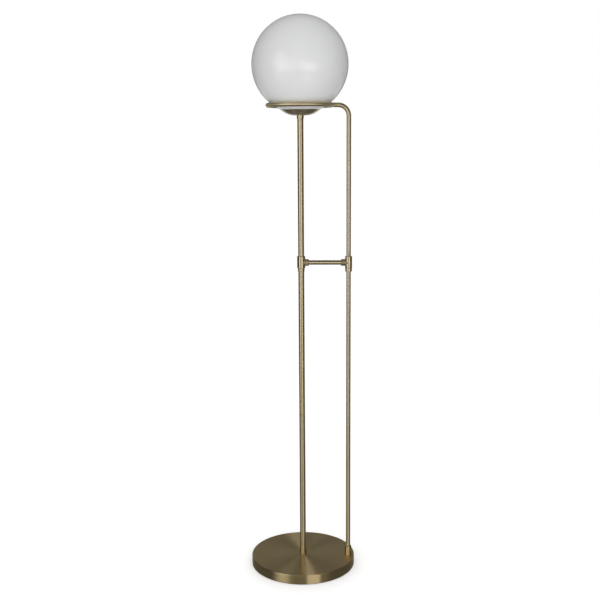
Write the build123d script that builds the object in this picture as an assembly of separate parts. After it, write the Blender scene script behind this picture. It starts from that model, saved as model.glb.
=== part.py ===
from build123d import *
from math import atan2, cos, radians, sin, sqrt
import os

# A globe floor lamp. All lengths are in millimetres.
# The origin is on the floor under the centre of the foot, +Z is up, and the side post stands towards +X.

# ---------------------------------------------------------------- foot
foot_diameter = 285.0
pad_thickness = 2.0
pad_inset = 2.5          # how far the pad's edge stays inside the foot's edge
cover_height = 25.0
cover_wall = 1.2
cover_edge_radius = 2.0  # outer radius of the pressed edge between the rim and the top

weight_gap = 0.3         # all round, between the casting and the cover's rim
weight_rim_width = 23.0
weight_hub_radius = 30.0
weight_pocket_depth = 16.0
weight_rib_width = 10.0
weight_rib_count = 6

centre_recess_radius = 16.0
centre_web = 6.0         # iron left above the recess, clamped by the nut
side_recess_radius = 10.5
side_web = 12.0

# ---------------------------------------------------------------- posts
side_post_inset = 16.5   # from the foot's edge to the side post's axis
post_diameter = 16.0
side_diameter = 12.0     # side post, arm, crossbar and ring are one tube size
tube_wall = 1.2
section_joint_z = 430.0
bar_z = 848.0
tube_end_chamfer = 0.4   # the fine groove that shows where two lengths meet

fit = 0.1                # radial clearance of a tube in its socket and of a thread in its hole
seat_gap = 0.3           # clearance at a moving or a curved seat
past = 1.0               # how far a cutter runs beyond a face

centre_ferrule_height = 15.0
centre_ferrule_floor = 3.0
side_ferrule_height = 23.0
side_ferrule_floor = 5.0
ferrule_wall = 1.1       # round the centre post; the side post's ferrule is as wide
ferrule_bevel = 0.8

insert_length = 18.0
nipple_diameter = 10.0
nipple_bore = 8.0
nipple_grip = 15.0       # how far a nipple reaches into an insert
nipple_proud = 0.5       # how far a nipple stands out of its nut
stud_diameter = 8.0
stud_grip = 15.0

# ---------------------------------------------------------------- tees and crossbar
tee_above = 17.0         # sleeve above the crossbar's axis
tee_below = 15.0
centre_tee_wall = 3.0
side_tee_wall = 3.5
tee_branch_wall = 3.0
tee_branch_reach = 20.5  # from the post's axis to the branch's mouth
tee_bevel = 1.0
collar_height = 9.0
grub_diameter = 4.0
grub_key = 2.0           # across the flats of the key socket
grub_key_depth = 1.6

# ---------------------------------------------------------------- dish and globe
dish_bottom_z = 1233.0
dish_radius = 50.5
dish_depth = 14.4
dish_flat_radius = 14.0
dish_wall = 1.5
globe_diameter = 250.0
glass_thickness = 3.0
mouth_inset = 5.5        # from the dish's rim to the outer edge of the ground mouth
seat_inset = 1.0         # the silicone seat stays this far inside the mouth's edge
seat_width = 6.0

# ---------------------------------------------------------------- ring and arm
ring_angle = 50.8        # of the ring below the globe's equator, seen from its centre
ring_gap = 2.0           # between the ring and the glass
arm_straight = 8.0       # between the arm's bend and the ring
cope_gap = 0.05

# ---------------------------------------------------------------- lampholder, E27
holder_radius = 19.5
holder_wall = 2.2
holder_edge = 1.0        # bevel on the holder's edges
boss_radius = 8.0
boss_height = 6.0
dome_height = 10.0
dome_steps = 3           # straight stretches that make the dome's curve
cap_height = 22.0
skirt_height = 34.0
skirt_band = 6.0         # full-width band of the skirt, above the cap
skirt_mouth_radius = 18.5
core_height = 12.0
core_seat = 2.0          # width and depth of the ledge that the core sits on
well_radius = 2.6        # terminal wells in the core
well_offset = 9.0
shell_inner_radius = 13.5
shell_wall = 0.5
shell_recess = 3.0       # how far the screw shell stays inside the skirt
spring_radius = 4.0
spring_height = 1.2
strap_length = 9.0       # strap of the centre contact
strap_width = 3.0

# ---------------------------------------------------------------- bulb, A60 with an E27 cap
bulb_length = 108.0
bulb_diameter = 60.0
bulb_neck_step = 2.0     # the dome's foot is this much inside its widest part
thread_gap = 0.3         # between the bulb's cap and the screw shell
bulb_cap_height = 22.5
bulb_cap_cone = 4.0
bulb_tip_radius = 4.5
bulb_tip_height = 1.5
bulb_tip_bevel = 1.0
bulb_insulator_height = 3.0
bulb_insulator_radius = 9.5
bulb_housing_height = 32.0
bulb_shell = 1.5
board_thickness = 1.6
chip_count = 8
chip_inset = 10.5        # from the board's edge to the circle of light chips
chip_length = 3.5
chip_width = 2.8
chip_height = 0.7

# ---------------------------------------------------------------- fasteners and lead
nut_flats = 17.0
nut_height = 5.0
washer_radius = 11.0
washer_thickness = 1.5
gallery_nut_flats = 14.0
gallery_nut_height = 4.0
gallery_washer_radius = 12.0
bolt_head_flats = 13.0
bolt_head_height = 5.3
bolt_washer_radius = 8.5

lead_diameter = 5.0
lead_bend = 10.0         # where the lead turns up into the centre nipple
lead_sway = 120.0        # the two gentle bends between the bush and the recess
lead_entry = 26.0        # level run behind the bush
lead_ramp = 52.0         # run over which it drops to the casting's channel
bush_z = 11.0
bush_bore_radius = 3.3
bush_body_radius = 5.0
bush_lip_radius = 5.7
bush_flange_radius = 7.0
bush_flange = 2.5
bush_bevel = 0.6
bush_lip = 5.0
channel_width = 14.0

# ---------------------------------------------------------------- levels and radii worked out from the sizes above
foot_radius = foot_diameter / 2
post_radius = post_diameter / 2
side_radius = side_diameter / 2
post_spacing = foot_radius - side_post_inset
ferrule_radius = post_radius + ferrule_wall
centre_tee_radius = post_radius + centre_tee_wall
side_tee_radius = side_radius + side_tee_wall
nipple_radius = nipple_diameter / 2
stud_radius = stud_diameter / 2
globe_radius = globe_diameter / 2
mouth_radius = dish_radius - mouth_inset

foot_top = pad_thickness + cover_height
weight_top = foot_top - cover_wall
cover_inner_radius = foot_radius - cover_wall
weight_radius = cover_inner_radius - weight_gap
pocket_top = pad_thickness + weight_pocket_depth

centre_tube_z = foot_top + centre_ferrule_floor
side_tube_z = foot_top + side_ferrule_floor
tee_top = bar_z + tee_above
tee_bottom = bar_z - tee_below
collar_bottom = tee_bottom - collar_height
dish_collar_bottom = dish_bottom_z - collar_height
post_top = dish_bottom_z - centre_ferrule_floor

dish_arc_radius = ((dish_radius - dish_flat_radius) ** 2 + dish_depth**2) / (2 * dish_depth)
dish_rim_z = dish_bottom_z + dish_depth
globe_z = dish_rim_z + sqrt((globe_radius + seat_gap) ** 2 - dish_radius**2)
mouth_z = globe_z - sqrt(globe_radius**2 - mouth_radius**2)

ring_reach = globe_radius + ring_gap + side_radius
ring_radius = ring_reach * cos(radians(ring_angle))
ring_z = globe_z - ring_reach * sin(radians(ring_angle))
arm_bend_radius = post_spacing - ring_radius - side_radius - arm_straight

dish_floor = dish_bottom_z + dish_wall
gallery_nut_z = dish_floor + washer_thickness
holder_z = gallery_nut_z + gallery_nut_height
boss_top = holder_z + boss_height
dome_top = boss_top + dome_height
cap_top = holder_z + cap_height
core_radius = holder_radius - holder_wall - fit
core_z = cap_top - core_seat
core_top = core_z + core_height
skirt_top = cap_top + skirt_height
bulb_z = core_top + spring_height
bulb_cap_radius = shell_inner_radius - thread_gap
bulb_cap_top = bulb_z + bulb_tip_height + bulb_insulator_height + bulb_cap_height
housing_top = bulb_cap_top + bulb_housing_height
bulb_top = bulb_z + bulb_length

centre_nut_top = weight_top - centre_web - washer_thickness
bolt_head_top = weight_top - side_web - washer_thickness


# ---------------------------------------------------------------- shared shapes
def at(z, x=0.0):
    """A place on a vertical axis."""
    return Pos(x, 0, z)


def rod(radius, bottom, top, x=0.0):
    """A round bar standing between two levels."""
    return at(bottom, x) * Cylinder(radius, top - bottom, align=(Align.CENTER, Align.CENTER, Align.MIN))


def sleeve(outer, inner, bottom, top, x=0.0):
    """A round tube standing between two levels."""
    return rod(outer, bottom, top, x) - rod(inner, bottom, top, x)


def hexagon(flats, bottom, top, hole=0.0, x=0.0):
    """A hexagon bar standing between two levels, with an optional round hole."""
    prism = at(bottom, x) * extrude(RegularPolygon(flats / 2, 6, major_radius=False), top - bottom)
    if hole:
        prism -= rod(hole, bottom, top, x)
    return prism


def turned(points):
    """A body of revolution about Z from a closed outline of (radius, height) points."""
    outline = Plane.XZ * Polyline(*points, close=True)
    return revolve(make_face(outline), Axis.Z)


def end_edges(solid, level, radius):
    """The circular edges of one radius at one level."""
    rings = solid.edges().filter_by(GeomType.CIRCLE)
    return [e for e in rings if abs(e.center().Z - level) < 1e-3 and abs(e.radius - radius) < 1e-3]


def post_tube(radius, bottom, top, x=0.0, groove_bottom=False, groove_top=False):
    """One length of post. A chamfered end makes half of the groove at a joint."""
    tube = sleeve(radius, radius - tube_wall, bottom, top, x)
    edges = []
    if groove_bottom:
        edges += end_edges(tube, bottom, radius)
    if groove_top:
        edges += end_edges(tube, top, radius)
    return chamfer(edges, tube_end_chamfer) if edges else tube


# ---------------------------------------------------------------- foot
def foot_pad():
    return rod(foot_radius - pad_inset, 0, pad_thickness)


def bush_hole(radius, y_from, y_to):
    """The hole of the cord bush, which runs through the rim at the back."""
    bar = Cylinder(radius, y_to - y_from, align=(Align.CENTER, Align.CENTER, Align.MIN))
    return Pos(0, y_from, bush_z) * Rot(-90, 0, 0) * bar


def foot_cover():
    """Pressed shell: top and rim in one, open below."""
    shell = rod(foot_radius, pad_thickness, foot_top)
    shell = fillet(end_edges(shell, foot_top, foot_radius), cover_edge_radius)
    inside = rod(cover_inner_radius, pad_thickness, weight_top)
    inside = chamfer(end_edges(inside, weight_top, cover_inner_radius), cover_edge_radius - cover_wall)
    shell -= inside
    shell -= rod(nipple_radius + seat_gap, weight_top, foot_top)
    shell -= rod(stud_radius + seat_gap, weight_top, foot_top, post_spacing)
    return shell - bush_hole(bush_body_radius + fit, cover_inner_radius - past, foot_radius + past)


def foot_weight():
    """Ribbed iron casting that fills the cover, with recesses for the nut, the bolt and the lead."""
    casting = rod(weight_radius, pad_thickness, weight_top)
    casting = chamfer(end_edges(casting, weight_top, weight_radius), cover_edge_radius)
    pocket = sleeve(weight_radius - weight_rim_width, weight_hub_radius, pad_thickness, pocket_top)
    for i in range(weight_rib_count):
        rib = Box(weight_radius, weight_rib_width, weight_pocket_depth, align=(Align.MIN, Align.CENTER, Align.MIN))
        pocket -= Rot(0, 0, i * 360 / weight_rib_count) * at(pad_thickness) * rib
    casting -= pocket
    casting -= rod(centre_recess_radius, pad_thickness, weight_top - centre_web)
    casting -= rod(nipple_radius + seat_gap, pad_thickness, weight_top)
    casting -= rod(side_recess_radius, pad_thickness, weight_top - side_web, post_spacing)
    casting -= rod(stud_radius + seat_gap, pad_thickness, weight_top, post_spacing)
    channel = Box(channel_width, weight_radius, weight_pocket_depth, align=(Align.CENTER, Align.MIN, Align.MIN))
    return casting - at(pad_thickness) * channel


def cord_bush():
    """Snap-in bush for the lead, in the rim opposite the viewer. Its lip springs out inside the rim."""
    wall = cover_wall + seat_gap
    outline = [
        (bush_bore_radius, -bush_flange),
        (bush_flange_radius - bush_bevel, -bush_flange),
        (bush_flange_radius, -bush_flange + bush_bevel),
        (bush_flange_radius, 0),
        (bush_body_radius, 0),
        (bush_body_radius, wall),
        (bush_lip_radius, wall),
        (bush_body_radius, wall + bush_lip),
        (bush_bore_radius, wall + bush_lip),
    ]
    return Pos(0, foot_radius, bush_z) * Rot(90, 0, 0) * turned(outline)


def foot_ferrule(height, floor, tube_radius, hole_radius, x):
    """Turned ring on the foot that takes the end of a post."""
    ferrule = rod(ferrule_radius, foot_top, foot_top + height, x)
    ferrule = chamfer(end_edges(ferrule, foot_top + height, ferrule_radius), ferrule_bevel)
    ferrule -= rod(tube_radius + fit, foot_top + floor, foot_top + height, x)
    return ferrule - rod(hole_radius + fit, foot_top, foot_top + floor, x)


# ---------------------------------------------------------------- threaded parts inside the posts
def nipple(bottom, top):
    return sleeve(nipple_radius, nipple_bore / 2, bottom, top)


def post_insert(bottom):
    """Threaded plug fixed in the end of a centre post length."""
    return sleeve(post_radius - tube_wall - fit / 2, nipple_radius + fit, bottom, bottom + insert_length)


def side_insert(bottom):
    """Threaded plug fixed in the end of a side post length."""
    outer = side_radius - tube_wall - fit / 2
    return sleeve(outer, stud_radius + fit, bottom, bottom + insert_length, post_spacing)


def hex_bolt():
    """Bolt that holds the side post from below the foot."""
    head = hexagon(bolt_head_flats, bolt_head_top - bolt_head_height, bolt_head_top, x=post_spacing)
    return head + rod(stud_radius, bolt_head_top, side_tube_z + stud_grip, post_spacing)


# ---------------------------------------------------------------- tees, collars and crossbar
def tee(radius, tube_radius, x, side):
    """Sleeve round a post with a branch for the crossbar. side is +1 or -1 along X."""
    branch_radius = side_radius + tee_branch_wall
    body = rod(radius, tee_bottom, tee_top, x)
    body = chamfer(end_edges(body, tee_top, radius) + end_edges(body, tee_bottom, radius), tee_bevel)
    branch = chamfer(end_edges(rod(branch_radius, 0, tee_branch_reach), tee_branch_reach, branch_radius), tee_bevel)
    socket = rod(side_radius + fit, radius, tee_branch_reach + past)
    across = Pos(x, 0, bar_z) * Rot(0, 90 * side, 0)
    body += across * branch
    body -= across * socket
    body -= rod(tube_radius + fit, tee_bottom, tee_top, x)
    return body - Pos(x, 0, bar_z) * Rot(-90, 0, 0) * rod(grub_diameter / 2 + fit, 0, radius + past)


def grub_screw(radius, tube_radius, x):
    """Key-socket screw in the back of a tee, tight against the tube."""
    length = radius - tube_radius - seat_gap
    screw = rod(grub_diameter / 2, 0, length)
    screw -= hexagon(grub_key, length - grub_key_depth, length)
    return Pos(x, tube_radius + fit / 2, bar_z) * Rot(-90, 0, 0) * screw


def tee_collar(tube_radius, x):
    """Turned collar below a tee, on which the sleeve stands."""
    collar = rod(ferrule_radius, collar_bottom, tee_bottom, x)
    collar = chamfer(end_edges(collar, collar_bottom, ferrule_radius), ferrule_bevel)
    return collar - rod(tube_radius + fit, collar_bottom, tee_bottom, x)


def crossbar():
    start = centre_tee_radius + seat_gap
    end = post_spacing - side_tee_radius - seat_gap
    bar = sleeve(side_radius, side_radius - tube_wall, start, end)
    return Pos(0, 0, bar_z) * Rot(0, 90, 0) * bar


# ---------------------------------------------------------------- ring and arm
def halo_ring():
    return at(ring_z) * Torus(ring_radius, side_radius)


def arm():
    """Top length of the side post: it bends over and is coped to the outside of the ring."""
    path = FilletPolyline(
        (post_spacing, 0, bar_z),
        (post_spacing, 0, ring_z),
        (ring_radius, 0, ring_z),
        radius=arm_bend_radius,
    )
    start = Plane(origin=(post_spacing, 0, bar_z), z_dir=(0, 0, 1))
    tube = sweep(start * Circle(side_radius), path=path)
    tube -= sweep(start * Circle(side_radius - tube_wall), path=path)
    return tube - at(ring_z) * Torus(ring_radius, side_radius + cope_gap)


# ---------------------------------------------------------------- dish, seat and globe
def dish_bowl(offset):
    """The dish's filled form, with its wall set in by an offset: a flat floor that runs into one arc."""
    arc_radius = dish_arc_radius - offset
    centre = (dish_flat_radius, dish_bottom_z + dish_arc_radius)
    top = dish_rim_z + past
    edge = dish_flat_radius + sqrt(arc_radius**2 - (centre[1] - top) ** 2)
    half = atan2(edge - dish_flat_radius, centre[1] - top) / 2
    middle = (centre[0] + arc_radius * sin(half), centre[1] - arc_radius * cos(half))
    floor = dish_bottom_z + offset
    outline = [
        Line((0, top), (0, floor)),
        Line((0, floor), (dish_flat_radius, floor)),
        ThreePointArc((dish_flat_radius, floor), middle, (edge, top)),
        Line((edge, top), (0, top)),
    ]
    return revolve(Plane.XZ * make_face(outline), Axis.Z)


def dish():
    """Spun dish. Its rim is ground to the globe's curve, clear of the glass."""
    bowl = dish_bowl(0) - dish_bowl(dish_wall)
    bowl -= at(globe_z) * Sphere(globe_radius + seat_gap)
    return bowl - rod(nipple_radius + fit, dish_bottom_z, dish_floor)


def dish_collar():
    """Turned collar between the centre post and the dish."""
    collar = rod(ferrule_radius, dish_collar_bottom, dish_bottom_z)
    collar = chamfer(end_edges(collar, dish_collar_bottom, ferrule_radius), ferrule_bevel)
    collar -= rod(post_radius + fit, dish_collar_bottom, post_top)
    return collar - rod(nipple_radius + fit, post_top, dish_bottom_z)


def globe_seat():
    """Silicone ring in the dish that the ground mouth of the globe stands on."""
    outer = mouth_radius - seat_inset
    ring = sleeve(outer, outer - seat_width, dish_floor, mouth_z)
    return ring & dish_bowl(dish_wall + cope_gap)


def globe():
    """Blown opal globe with a flat ground mouth."""
    glass = Sphere(globe_radius) - Sphere(globe_radius - glass_thickness)
    waste = rod(globe_radius, -globe_radius - past, mouth_z - globe_z)
    return at(globe_z) * (glass - waste)


# ---------------------------------------------------------------- lampholder
def dome_points(foot, bottom, radius, top):
    """Points of a quarter ellipse that rises from a narrow foot to a full radius."""
    turns = [radians(90 * i / dome_steps) for i in range(dome_steps + 1)]
    return [(foot + (radius - foot) * sin(turn), top - (top - bottom) * cos(turn)) for turn in turns]


def holder_cap():
    """Lower half of the lampholder: a threaded boss that opens into a dome, with a ledge for the core."""
    bore = nipple_radius + fit
    ledge = core_radius - core_seat
    outside = dome_points(boss_radius, boss_top, holder_radius, dome_top)
    inside = dome_points(bore, boss_top + holder_wall, ledge, dome_top)
    return turned(
        [(bore, holder_z), (boss_radius, holder_z)]
        + outside
        + [(holder_radius, cap_top), (core_radius + fit, cap_top), (core_radius + fit, core_z), (ledge, core_z)]
        + inside[::-1]
    )


def holder_skirt():
    """Upper half of the lampholder, which clamps the core and shrouds the screw shell."""
    clear = shell_inner_radius + shell_wall + seat_gap
    band_top = cap_top + skirt_band
    return turned(
        [
            (core_radius + fit, cap_top),
            (holder_radius, cap_top),
            (holder_radius, band_top),
            (holder_radius - holder_edge, band_top + holder_edge),
            (skirt_mouth_radius, skirt_top - holder_edge),
            (skirt_mouth_radius - holder_edge, skirt_top),
            (clear + holder_edge, skirt_top),
            (clear, skirt_top - holder_edge),
            (clear, core_top),
            (core_radius + fit, core_top),
        ]
    )


def holder_core():
    """Porcelain core with two terminal wells."""
    core = rod(core_radius, core_z, core_top)
    for side in (-1, 1):
        core -= rod(well_radius, core_z, core_z + core_height / 2, side * well_offset)
    return core


def screw_shell():
    return sleeve(shell_inner_radius + shell_wall, shell_inner_radius, core_top, skirt_top - shell_recess)


def centre_contact():
    """Spring tongue of the live contact: a round pad under the bulb's tip, and its strap."""
    pad = rod(spring_radius, core_top, bulb_z)
    strap = Box(strap_length, strap_width, spring_height / 2, align=(Align.MIN, Align.CENTER, Align.MIN))
    return pad + at(core_top) * strap


# ---------------------------------------------------------------- bulb
def bulb_tip():
    """Solder tip of the cap."""
    top = bulb_z + bulb_tip_height
    return turned(
        [
            (0, bulb_z),
            (bulb_tip_radius - bulb_tip_bevel, bulb_z),
            (bulb_tip_radius, bulb_z + bulb_tip_bevel),
            (bulb_tip_radius, top),
            (0, top),
        ]
    )


def bulb_insulator():
    bottom = bulb_z + bulb_tip_height
    return turned(
        [
            (0, bottom),
            (bulb_tip_radius + bulb_tip_bevel, bottom),
            (bulb_insulator_radius, bottom + bulb_insulator_height),
            (0, bottom + bulb_insulator_height),
        ]
    )


def bulb_cap():
    """Screw cap: a thin shell with a cone down to the insulator."""
    bottom = bulb_z + bulb_tip_height + bulb_insulator_height
    wall = shell_wall
    return turned(
        [
            (0, bottom),
            (bulb_insulator_radius, bottom),
            (bulb_cap_radius, bottom + bulb_cap_cone),
            (bulb_cap_radius, bulb_cap_top),
            (bulb_cap_radius - wall, bulb_cap_top),
            (bulb_cap_radius - wall, bottom + bulb_cap_cone),
            (bulb_insulator_radius - wall, bottom + wall),
            (0, bottom + wall),
        ]
    )


def bulb_outline_radius(level):
    """Radius of the housing at a level: a straight flare from the cap to the widest part."""
    share = (level - bulb_cap_top) / bulb_housing_height
    return bulb_cap_radius + share * (bulb_diameter / 2 - bulb_neck_step - bulb_cap_radius)


def bulb_housing():
    """Flared housing that carries the light board."""
    wide = bulb_outline_radius(housing_top)
    low = bulb_outline_radius(bulb_cap_top)
    return turned(
        [
            (low - bulb_shell, bulb_cap_top),
            (low, bulb_cap_top),
            (wide, housing_top),
            (wide - bulb_shell, housing_top),
            (wide - bulb_shell, housing_top - bulb_shell),
            (low - bulb_shell, bulb_cap_top + bulb_shell),
        ]
    )


def light_board():
    """Round board with the light chips, held in the mouth of the housing."""
    radius = bulb_outline_radius(housing_top) - bulb_shell - fit
    board = rod(radius, housing_top - board_thickness, housing_top)
    chip = Box(chip_length, chip_width, chip_height, align=(Align.CENTER, Align.CENTER, Align.MIN))
    for i in range(chip_count):
        board += Rot(0, 0, i * 360 / chip_count) * at(housing_top, radius - chip_inset) * chip
    return board


def dome_section(radius, crown):
    """Half section of a dome: a shoulder that runs in tangent to a round cap."""
    foot = (radius - bulb_neck_step, housing_top)
    widest = (radius, crown - radius)
    middle = (radius * cos(radians(45)), widest[1] + radius * sin(radians(45)))
    return [
        Line((0, housing_top), foot),
        TangentArc(widest, foot, tangent=(0, -1)),
        ThreePointArc(widest, middle, (0, crown)),
        Line((0, crown), (0, housing_top)),
    ]


def bulb_diffuser():
    """Opal dome of the bulb."""
    outer = make_face(dome_section(bulb_diameter / 2, bulb_top))
    inner = make_face(dome_section(bulb_diameter / 2 - bulb_shell, bulb_top - bulb_shell))
    return revolve(Plane.XZ * (outer - inner), Axis.Z)


# ---------------------------------------------------------------- lead
def lead():
    """Two-core lead from the bush, through the casting and the centre post, to the lampholder's core."""
    low = pad_thickness + lead_diameter / 2 + seat_gap
    start_y = foot_radius - cover_wall - seat_gap - bush_lip
    points = [
        (0, start_y, bush_z),
        (0, start_y - lead_entry, bush_z),
        (0, start_y - lead_entry - lead_ramp, low),
        (0, 0, low),
        (0, 0, core_z),
    ]
    path = FilletPolyline(*points, radius=[lead_sway, lead_sway, lead_bend])
    section = Plane(origin=points[0], z_dir=(0, -1, 0)) * Circle(lead_diameter / 2)
    return sweep(section, path=path)


# ---------------------------------------------------------------- the lamp
joint_levels = (section_joint_z, bar_z)

nodes = {
    "foot_pad": foot_pad(),
    "foot_cover": foot_cover(),
    "foot_weight": foot_weight(),
    "cord_bush": cord_bush(),
    "centre_ferrule": foot_ferrule(centre_ferrule_height, centre_ferrule_floor, post_radius, nipple_radius, 0),
    "side_ferrule": foot_ferrule(
        side_ferrule_height, side_ferrule_floor, side_radius, stud_radius, post_spacing
    ),
    "foot_nipple": nipple(centre_nut_top - nut_height - nipple_proud, centre_tube_z + nipple_grip),
    "foot_washer": sleeve(washer_radius, nipple_radius + fit, centre_nut_top, weight_top - centre_web),
    "foot_nut": hexagon(nut_flats, centre_nut_top - nut_height, centre_nut_top, nipple_radius + fit),
    "side_bolt": hex_bolt(),
    "side_washer": sleeve(
        bolt_washer_radius, stud_radius + fit, bolt_head_top, weight_top - side_web, post_spacing
    ),
    "centre_post_lower": post_tube(post_radius, centre_tube_z, section_joint_z, groove_top=True),
    "centre_post_middle": post_tube(post_radius, section_joint_z, bar_z, groove_bottom=True),
    "centre_post_upper": post_tube(post_radius, bar_z, post_top),
    "side_post_lower": post_tube(side_radius, side_tube_z, section_joint_z, post_spacing, groove_top=True),
    "side_post_middle": post_tube(side_radius, section_joint_z, bar_z, post_spacing, groove_bottom=True),
    "arm": arm(),
    "halo_ring": halo_ring(),
    "centre_inserts": Compound(
        [post_insert(centre_tube_z)]
        + [post_insert(z - shift) for z in joint_levels for shift in (insert_length, 0)]
        + [post_insert(post_top - insert_length)]
    ),
    "side_inserts": Compound(
        [side_insert(side_tube_z)]
        + [side_insert(z - shift) for z in joint_levels for shift in (insert_length, 0)]
    ),
    "joint_nipples": Compound([nipple(z - nipple_grip, z + nipple_grip) for z in joint_levels]),
    "joint_studs": Compound(
        [rod(stud_radius, z - stud_grip, z + stud_grip, post_spacing) for z in joint_levels]
    ),
    "centre_tee": tee(centre_tee_radius, post_radius, 0, 1),
    "side_tee": tee(side_tee_radius, side_radius, post_spacing, -1),
    "centre_tee_collar": tee_collar(post_radius, 0),
    "side_tee_collar": tee_collar(side_radius, post_spacing),
    "grub_screws": Compound(
        [
            grub_screw(centre_tee_radius, post_radius, 0),
            grub_screw(side_tee_radius, side_radius, post_spacing),
        ]
    ),
    "crossbar": crossbar(),
    "dish_collar": dish_collar(),
    "dish": dish(),
    "gallery_nipple": nipple(post_top - nipple_grip, boss_top),
    "gallery_washer": sleeve(gallery_washer_radius, nipple_radius + fit, dish_floor, gallery_nut_z),
    "gallery_nut": hexagon(gallery_nut_flats, gallery_nut_z, holder_z, nipple_radius + fit),
    "holder_cap": holder_cap(),
    "holder_skirt": holder_skirt(),
    "holder_core": holder_core(),
    "screw_shell": screw_shell(),
    "centre_contact": centre_contact(),
    "globe_seat": globe_seat(),
    "globe": globe(),
    "bulb_tip": bulb_tip(),
    "bulb_insulator": bulb_insulator(),
    "bulb_cap": bulb_cap(),
    "bulb_housing": bulb_housing(),
    "light_board": light_board(),
    "bulb_diffuser": bulb_diffuser(),
    "lead": lead(),
}

os.makedirs("parts", exist_ok=True)
for name, shape in nodes.items():
    export_step(shape, f"parts/{name}.step")

print(f"globe centre {globe_z:.2f}, mouth {mouth_z:.2f}, top {globe_z + globe_radius:.2f}")
print(f"ring radius {ring_radius:.2f} at {ring_z:.2f}, arm bend {arm_bend_radius:.2f}")
print(f"bulb top {bulb_top:.2f}, {globe_z + globe_radius - glass_thickness - bulb_top:.1f} under the glass")
print(f"lead bends {lead_sway:.0f}, {lead_sway:.0f} and {lead_bend:.0f}")
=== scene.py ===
import math

import bmesh
import bpy
from mathutils import Matrix, Vector


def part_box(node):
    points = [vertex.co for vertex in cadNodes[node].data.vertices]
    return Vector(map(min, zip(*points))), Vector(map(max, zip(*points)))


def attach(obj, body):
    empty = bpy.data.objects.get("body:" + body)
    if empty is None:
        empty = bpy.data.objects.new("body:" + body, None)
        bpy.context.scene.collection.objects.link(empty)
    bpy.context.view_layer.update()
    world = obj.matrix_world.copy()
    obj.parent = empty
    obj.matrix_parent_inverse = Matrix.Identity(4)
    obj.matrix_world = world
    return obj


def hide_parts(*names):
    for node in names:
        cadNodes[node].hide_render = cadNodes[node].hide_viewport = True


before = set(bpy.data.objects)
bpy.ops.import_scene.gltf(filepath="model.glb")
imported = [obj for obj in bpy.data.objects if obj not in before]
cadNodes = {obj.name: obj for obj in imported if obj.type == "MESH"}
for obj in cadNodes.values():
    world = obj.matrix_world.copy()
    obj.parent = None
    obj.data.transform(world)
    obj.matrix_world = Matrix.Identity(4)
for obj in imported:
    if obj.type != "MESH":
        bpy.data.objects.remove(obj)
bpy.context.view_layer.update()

# Lengths are in metres, and in millimetres where a note says so. The foot's centre is the origin, the floor
# is z = 0, the side post stands towards +X and the photograph looks along +Y.
mm = 0.001

print("frame loaded:", len(cadNodes), "nodes")


def toLinear(hexColour):
    channels = [int(hexColour[i:i + 2], 16) / 255 for i in (1, 3, 5)]
    return [c / 12.92 if c <= 0.04045 else ((c + 0.055) / 1.055) ** 2.4 for c in channels] + [1.0]


def addNode(tree, kind, settings={}, links={}):
    # settings are the node's own options or its sockets' values, by name or number
    node = tree.nodes.new(kind)
    for name, value in settings.items():
        if isinstance(name, str) and hasattr(node, name):
            setattr(node, name, value)
        else:
            node.inputs[name].default_value = value
    for name, source in links.items():
        tree.links.new(source, node.inputs[name])
    return node


def newMaterial(name):
    material = bpy.data.materials.new(name)
    material.use_nodes = True
    material.node_tree.nodes.clear()
    return material, material.node_tree


def linkObject(name, data):
    thing = bpy.data.objects.new(name, data)
    bpy.context.scene.collection.objects.link(thing)
    return thing


# The camera stands where the photograph was taken from, fitted to the edges of the lamp.
view = {
    "place": (0.100, -2.5035, 1.1718),
    "focalPixels": 947.2,
    "framePixels": 600,
    "sensor": 36.0,       # millimetres
    "pitch": 0.1681,      # downwards; the angles are in radians
    "yaw": -0.0415,
    "roll": -0.0067,
}


def makeCamera():
    data = bpy.data.cameras.new("camera")
    data.sensor_width = view["sensor"]
    data.lens = view["sensor"] * view["focalPixels"] / view["framePixels"]
    camera = linkObject("camera", data)
    pitch, yaw, roll = view["pitch"], view["yaw"], view["roll"]
    forward = Vector((math.sin(yaw) * math.cos(pitch), math.cos(yaw) * math.cos(pitch), -math.sin(pitch)))
    level = Vector((math.cos(yaw), -math.sin(yaw), 0))
    upright = level.cross(forward)
    right = math.cos(roll) * level + math.sin(roll) * upright
    up = math.cos(roll) * upright - math.sin(roll) * level
    axes = Matrix((right, up, -forward)).transposed().to_4x4()
    camera.matrix_world = Matrix.Translation(view["place"]) @ axes
    bpy.context.scene.camera = camera


makeCamera()
bpy.context.scene.view_settings.view_transform = "Standard"
print("camera placed")

# The studio: a pale floor that runs into a white backdrop.
backdrop = {
    "floorSize": 24.0,
    "floorColour": "#F4F4F4",
    "floorLift": 0.33,           # how much the floor is brought up to the white of the backdrop
    "floorFade": (0.5, 2.6),     # how far from the foot the floor runs into the backdrop
    "ambient": 0.60,             # what the surroundings give to matt surfaces
}


def seenByCamera(tree):
    # one where the camera, or a reflection or glass, looks at the background
    path = addNode(tree, "ShaderNodeLightPath")
    total = addNode(tree, "ShaderNodeMath", {"operation": "ADD"},
                    {0: path.outputs["Is Camera Ray"], 1: path.outputs["Is Glossy Ray"]})
    return addNode(tree, "ShaderNodeMath", {"operation": "ADD", "use_clamp": True},
                   {0: total.outputs[0], 1: path.outputs["Is Transmission Ray"]})


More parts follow.
